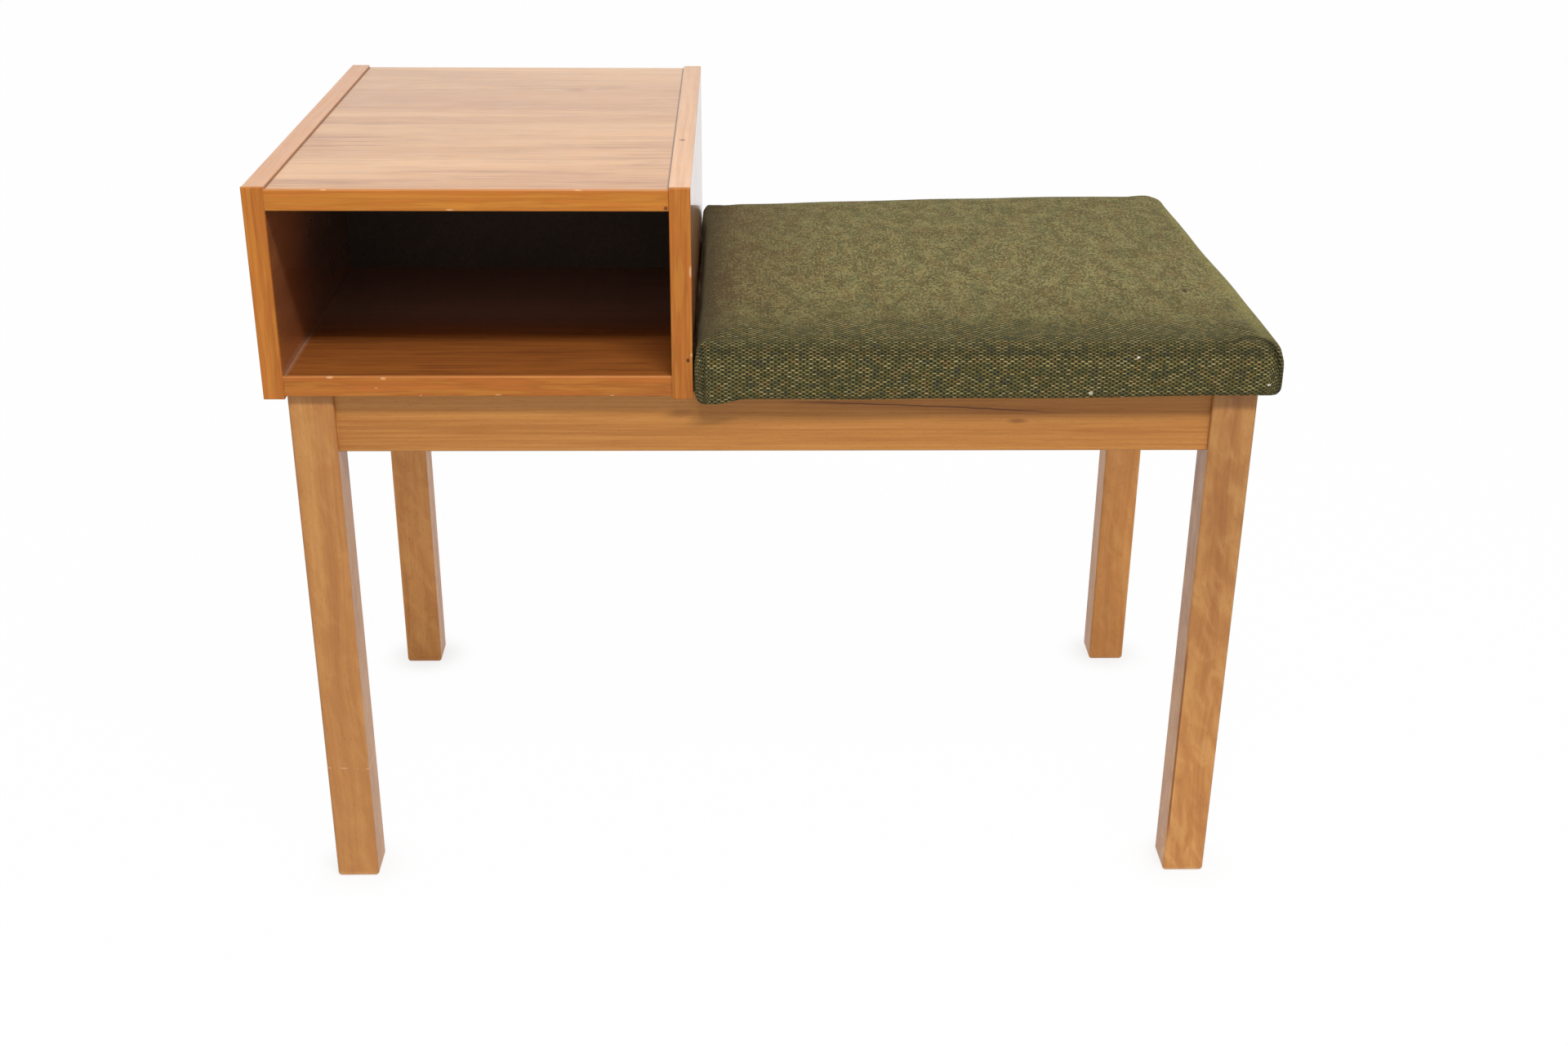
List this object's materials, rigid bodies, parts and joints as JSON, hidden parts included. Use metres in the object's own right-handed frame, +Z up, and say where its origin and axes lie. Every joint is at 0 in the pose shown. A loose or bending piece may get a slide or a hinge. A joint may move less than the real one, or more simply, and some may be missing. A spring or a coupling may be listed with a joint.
{
  "type": "telephone bench",
  "caption": "Low hall bench on square legs with an open cabinet for the telephone on the left and an upholstered seat on the right.",
  "frame": {"origin": "on the floor, under the middle of the bench's bounding box", "axes": "+X along the bench towards the seat, +Y towards the back, +Z up"},
  "size_m": [0.7805, 0.4505, 0.608],
  "materials": {
    "teak_veneer": "satin lacquered teak veneer",
    "teak_lipping": "satin lacquered solid teak",
    "stained_beech": "golden brown stained beech, satin lacquer",
    "plain_beech": "bare planed beech",
    "hardboard": "brown hardboard",
    "plywood": "bare birch plywood",
    "foam": "latex foam",
    "wool_cover": "olive and brown melange wool weave",
    "steel": "plain steel"
  },
  "bodies": {
    "root": {"back_panel_pins": "steel", "back_rail": "stained_beech", "bottom_lipping": "teak_lipping", "cabinet_back": "hardboard", "cabinet_bottom": "teak_veneer", "cabinet_dowels": "plain_beech", "cabinet_left_side": "teak_veneer", "cabinet_right_side": "teak_veneer", "cabinet_screws": "steel", "cabinet_top": "teak_veneer", "centre_batten": "plain_beech", "compartment_back": "hardboard", "corner_block_back_left": "plain_beech", "corner_block_back_right": "plain_beech", "corner_block_front_left": "plain_beech", "corner_block_front_right": "plain_beech", "corner_block_screws": "steel", "front_rail": "stained_beech", "left_rail": "stained_beech", "left_side_front_lipping": "teak_lipping", "left_side_top_lipping": "teak_lipping", "leg_back_left": "stained_beech", "leg_back_right": "stained_beech", "leg_front_left": "stained_beech", "leg_front_right": "stained_beech", "right_rail": "stained_beech", "right_side_front_lipping": "teak_lipping", "right_side_top_lipping": "teak_lipping", "seat_board": "plywood", "seat_cover": "wool_cover", "seat_foam": "foam", "seat_screws": "steel", "seat_staples": "steel", "top_lipping": "teak_lipping"}
  },
  "joints": []
}
